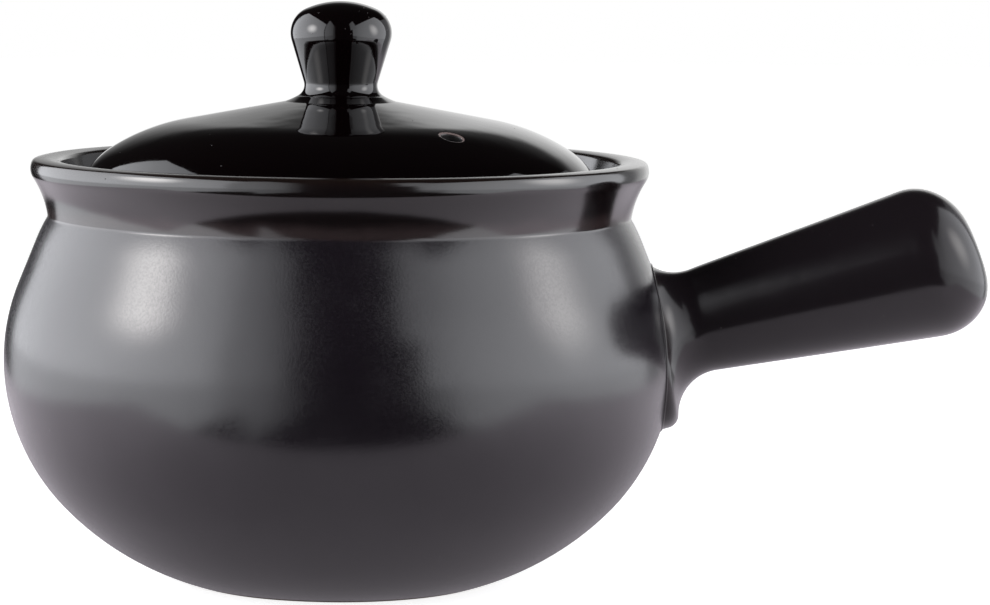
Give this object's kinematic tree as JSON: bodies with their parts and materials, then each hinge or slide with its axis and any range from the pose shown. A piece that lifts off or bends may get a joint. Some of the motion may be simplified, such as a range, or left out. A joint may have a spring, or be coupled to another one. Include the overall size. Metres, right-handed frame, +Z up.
{
  "type": "clay soup pot",
  "caption": "Round-bellied glazed clay soup pot with a flared lip, an upturned hollow stub handle and a loose domed lid with a knob and a steam hole; the lid lifts off its ledge.",
  "frame": {"origin": "middle of the flat foot, on the surface the pot stands on", "axes": "+Z up along the pot's axis, +X from the pot's axis towards the handle's end"},
  "size_m": [0.2947, 0.2014, 0.1744],
  "materials": {
    "satin_glaze": "satin charcoal glaze, glossier on the neck and lip, bare clay under the foot",
    "handle_glaze": "gloss black glaze",
    "lid_glaze": "mirror-gloss black glaze with fine pinholes",
    "slip": "fired slip under glaze"
  },
  "bodies": {
    "pot": {"pot_body": "satin_glaze", "handle": "handle_glaze", "handle_slip": "slip"},
    "lid": {"lid": "lid_glaze", "knob": "lid_glaze", "knob_slip": "slip"}
  },
  "joints": [
    {"name": "lid_lift", "type": "slide", "parent": "pot", "child": "lid", "axis": [0, 0, 1], "range_m": [0, 0.1]}
  ]
}
